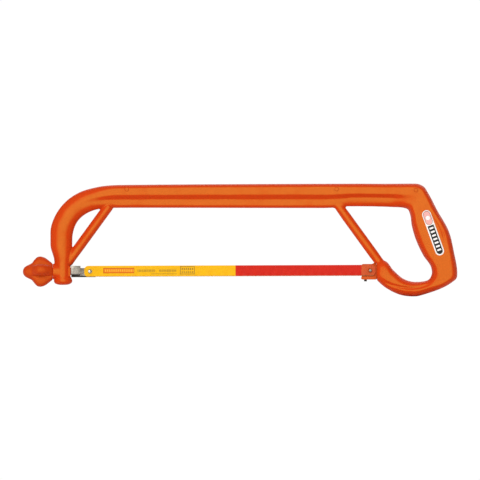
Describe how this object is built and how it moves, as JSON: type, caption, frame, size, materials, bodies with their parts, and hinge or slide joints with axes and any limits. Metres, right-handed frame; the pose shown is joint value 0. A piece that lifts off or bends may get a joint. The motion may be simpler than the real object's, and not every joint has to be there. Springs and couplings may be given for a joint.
{
  "type": "insulated hacksaw",
  "caption": "Hand hacksaw with a tubular steel bow, diagonal struts and closed rear grip under an insulating skin, blade tensioned by a wing nut.",
  "frame": {"origin": "centre of the base: under the middle of the saw's length and thickness, at the level of the handle's lowest point", "axes": "+X from the wing nut to the handle, +Y from the badge side to the plain side, +Z from the blade up to the bar"},
  "size_m": [0.466, 0.0328, 0.1212],
  "materials": {
    "skin": "satin moulded insulation",
    "core_steel": "plain",
    "core_casting": "as cast",
    "plating": "plated",
    "insert_brass": "turned",
    "blade_paint": "two-colour satin paint",
    "anchor_paint": "thin coat",
    "black_steel": "blackened",
    "badge_plastic": "printed"
  },
  "bodies": {
    "frame": {"bow_insulation": "skin", "handle_insulation": "skin", "front_strut_insulation": "skin", "rear_strut_insulation": "skin", "post_cap": "skin", "support_plug_front_near": "skin", "support_plug_front_far": "skin", "support_plug_middle_near": "skin", "support_plug_middle_far": "skin", "support_plug_rear_near": "skin", "support_plug_rear_far": "skin", "bow_tube": "core_steel", "front_socket": "core_steel", "front_strut_rod": "core_steel", "rear_strut_rod": "core_steel", "bow_rivet_front": "core_steel", "bow_rivet_rear": "core_steel", "anchor_rivet_front": "core_steel", "anchor_rivet_rear": "core_steel", "handle_core": "core_casting", "rear_anchor": "anchor_paint", "rear_blade_pin": "plating", "anchor_set_screw": "black_steel", "badge_plate": "badge_plastic", "thrust_washer": "core_steel"},
    "tension_nut": {"wing_nut": "skin", "wing_nut_insert": "insert_brass"},
    "tension_bar": {"drawbar": "plating", "front_blade_pin": "plating"},
    "saw_blade": {"blade": "blade_paint"}
  },
  "joints": [
    {"name": "wing_nut_turn", "type": "hinge", "parent": "frame", "child": "tension_nut", "pos_m": [-0.20125, 0, 0.02805], "axis": [-1, 0, 0], "range_deg": [0, 360]},
    {"name": "drawbar_slide", "type": "slide", "parent": "frame", "child": "tension_bar", "axis": [1, 0, 0], "range_m": [0, 0.00125]},
    {"name": "blade_lift_off", "type": "slide", "parent": "frame", "child": "saw_blade", "axis": [0, -1, 0], "range_m": [0, 0.03]}
  ],
  "couplings": [
    {"joint": "wing_nut_turn", "follows": "drawbar_slide", "rad_per_m": 5026.5}
  ]
}
